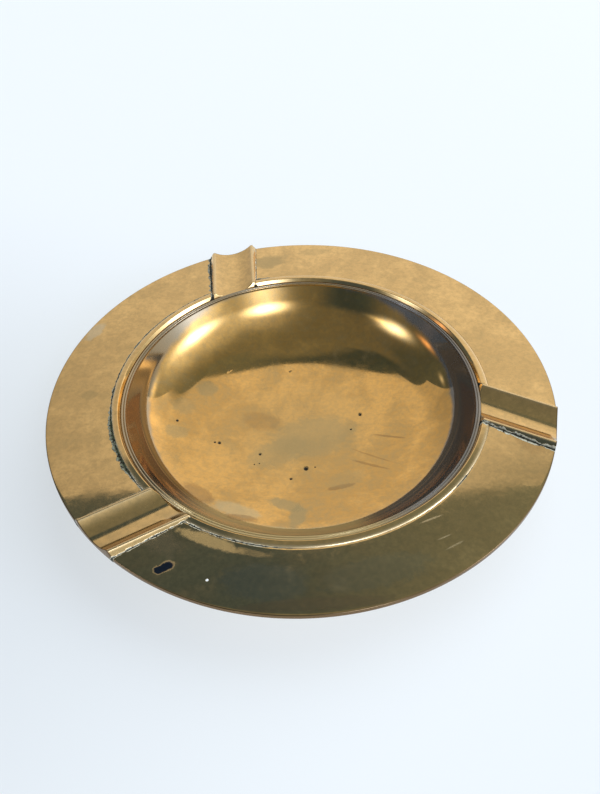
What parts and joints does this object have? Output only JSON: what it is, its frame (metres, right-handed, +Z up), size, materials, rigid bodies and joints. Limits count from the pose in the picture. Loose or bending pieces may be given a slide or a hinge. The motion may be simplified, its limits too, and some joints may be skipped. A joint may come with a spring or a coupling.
{
  "type": "ashtray",
  "caption": "Round brass ashtray: a turned bowl in a wide flat brim, with a low collar round its mouth and skewed, troughed cigarette rests across the brim.",
  "frame": {"origin": "centre of the bowl's foot, on the surface that the ashtray stands on", "axes": "+Z up out of the bowl's mouth; +Y away from the viewer of the pictured side, so that the back rest lies towards +Y and the right rest towards +X"},
  "size_m": [0.17, 0.17, 0.0231],
  "materials": {
    "bowl_brass": "turned and polished, mottled with tarnish, small casting pits in the floor",
    "rest_brass": "worn bright on the edges, tarnished in the troughs",
    "brim_brass": "hand polished, cloudy tarnish and a few dark spots, verdigris along the joints",
    "collar_brass": "polished ridge, dark at the foot"
  },
  "bodies": {
    "root": {"bowl": "bowl_brass", "rest_right": "rest_brass", "rest_back": "rest_brass", "rest_left": "rest_brass", "brim_back_right": "brim_brass", "brim_back_left": "brim_brass", "brim_front": "brim_brass", "collar_back_right": "collar_brass", "collar_back_left": "collar_brass", "collar_front": "collar_brass"}
  },
  "joints": []
}
